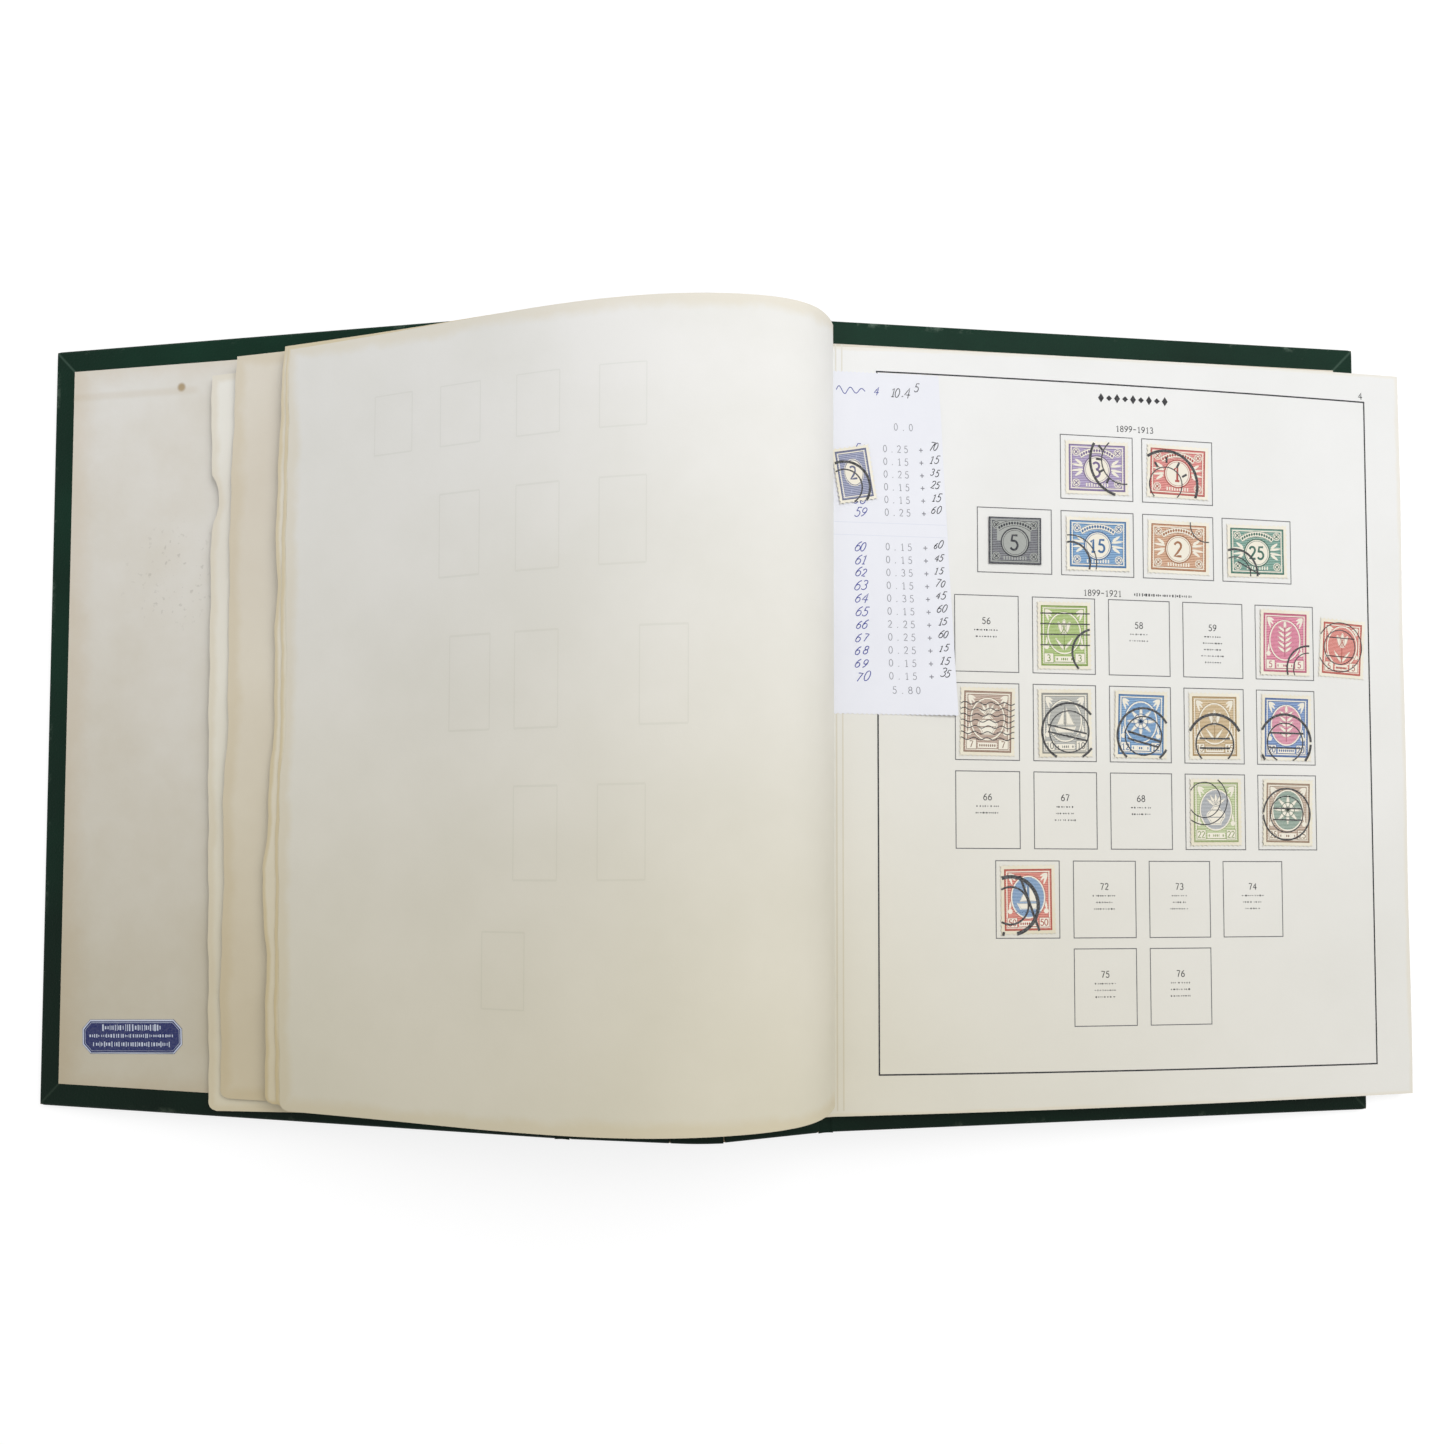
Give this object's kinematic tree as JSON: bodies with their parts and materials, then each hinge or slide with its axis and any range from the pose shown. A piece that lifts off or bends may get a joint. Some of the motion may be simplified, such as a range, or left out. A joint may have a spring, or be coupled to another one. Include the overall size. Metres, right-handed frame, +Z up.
{
  "type": "stamp album",
  "caption": "Open spring-back stamp album: clamp spine, creased leatherette covers, arched left leaves and a printed page with mounted stamps.",
  "frame": {"origin": "on the table, in the middle of the open album's outline", "axes": "+X from the front cover to the back cover, +Y from the foot of the leaves to their head, +Z up"},
  "size_m": [0.5148, 0.288, 0.08],
  "materials": {
    "leatherette": "fine grain, slight sheen",
    "board": "grey-brown pressed board",
    "spring_steel": "oiled spring steel",
    "jaw_steel": "bright steel",
    "endpaper": "aged cream paper",
    "album_paper": "heavy white album paper",
    "aged_paper": "greyed album paper with tan edges",
    "slip_paper": "thin bluish-white paper",
    "hinge_paper": "translucent gummed paper",
    "label_blue": "blue paper, silver rule",
    "loose_lilac": "printed paper",
    "stamp_purple": "printed paper, perforated edge",
    "stamp_red": "printed paper, perforated edge",
    "stamp_dark_grey": "printed paper, perforated edge",
    "stamp_blue": "printed paper, perforated edge",
    "stamp_orange_brown": "printed paper, perforated edge",
    "stamp_green": "printed paper, perforated edge",
    "stamp_yellow_green": "printed paper, perforated edge",
    "stamp_rose": "printed paper, perforated edge",
    "stamp_orange_red": "printed paper, perforated edge",
    "stamp_brown": "printed paper, perforated edge",
    "stamp_grey": "printed paper, perforated edge",
    "stamp_ochre": "printed paper, perforated edge",
    "stamp_blue_red": "printed paper, perforated edge",
    "stamp_pale_green": "printed paper, perforated edge",
    "stamp_brown_green": "printed paper, perforated edge",
    "stamp_red_blue": "printed paper, perforated edge"
  },
  "bodies": {
    "spine": {"spring_back": "spring_steel", "spine_cover": "leatherette", "front_jaw": "jaw_steel", "back_jaw": "jaw_steel", "back_lever": "board", "back_lever_cloth": "leatherette", "back_lip_cloth": "leatherette", "leaf_block": "album_paper"},
    "front_lever": {"front_lever": "board", "front_lever_cloth": "leatherette", "front_lip_cloth": "leatherette"},
    "front_board": {"front_board": "board", "front_board_cloth": "leatherette", "front_endpaper": "endpaper", "shop_label": "label_blue", "front_joint_cloth": "leatherette"},
    "back_board": {"back_board": "board", "back_board_cloth": "leatherette", "back_endpaper": "endpaper", "back_joint_cloth": "leatherette"},
    "left_leaves": {"flyleaf": "aged_paper", "title_leaf": "aged_paper", "leaf_1": "aged_paper", "leaf_2": "aged_paper", "leaf_3": "aged_paper"},
    "page_leaf": {"leaf_4": "album_paper", "stamp_hinges": "hinge_paper", "stamp_01": "stamp_purple", "stamp_02": "stamp_red", "stamp_03": "stamp_dark_grey", "stamp_04": "stamp_blue", "stamp_05": "stamp_orange_brown", "stamp_06": "stamp_green", "stamp_07": "stamp_yellow_green", "stamp_08": "stamp_rose", "stamp_09": "stamp_orange_red", "stamp_10": "stamp_brown", "stamp_11": "stamp_grey", "stamp_12": "stamp_blue", "stamp_13": "stamp_ochre", "stamp_14": "stamp_blue_red", "stamp_15": "stamp_pale_green", "stamp_16": "stamp_brown_green", "stamp_17": "stamp_red_blue"},
    "price_slip": {"price_slip": "slip_paper"},
    "loose_stamp": {"loose_stamp": "loose_lilac"}
  },
  "joints": [
    {"name": "front_cover_hinge", "type": "hinge", "parent": "spine", "child": "front_lever", "pos_m": [-0.0103, 0, 0.05499], "axis": [0, -1, 0], "range_deg": [-200.5, 0], "deforming": ["front_lip_cloth"]},
    {"name": "front_board_crease", "type": "hinge", "parent": "front_lever", "child": "front_board", "pos_m": [-0.05373, 0, 0.04222], "axis": [0, -1, 0], "range_deg": [0, 60], "deforming": ["front_joint_cloth"]},
    {"name": "back_board_crease", "type": "hinge", "parent": "spine", "child": "back_board", "pos_m": [0.03611, 0, 0.03305], "axis": [0, 1, 0], "range_deg": [0, 60], "deforming": ["back_joint_cloth"]},
    {"name": "left_leaves_turn", "type": "hinge", "parent": "spine", "child": "left_leaves", "pos_m": [0.03479, 0, 0.0463], "axis": [0, -1, 0], "range_deg": [-193, 0], "deforming": ["flyleaf", "title_leaf", "leaf_1", "leaf_2", "leaf_3"]},
    {"name": "page_turn", "type": "hinge", "parent": "spine", "child": "page_leaf", "pos_m": [0.03742, 0, 0.04041], "axis": [0, -1, 0], "range_deg": [0, 60], "deforming": ["leaf_4"]},
    {"name": "price_slip_lift", "type": "slide", "parent": "page_leaf", "child": "price_slip", "axis": [0.9189, 0, 0.3944], "range_m": [0, 0.04]},
    {"name": "loose_stamp_lift", "type": "slide", "parent": "price_slip", "child": "loose_stamp", "axis": [0.9189, 0, 0.3944], "range_m": [0, 0.03]}
  ],
  "couplings": [
    {"joint": "left_leaves_turn", "follows": "front_cover_hinge", "ratio": 0.96}
  ]
}
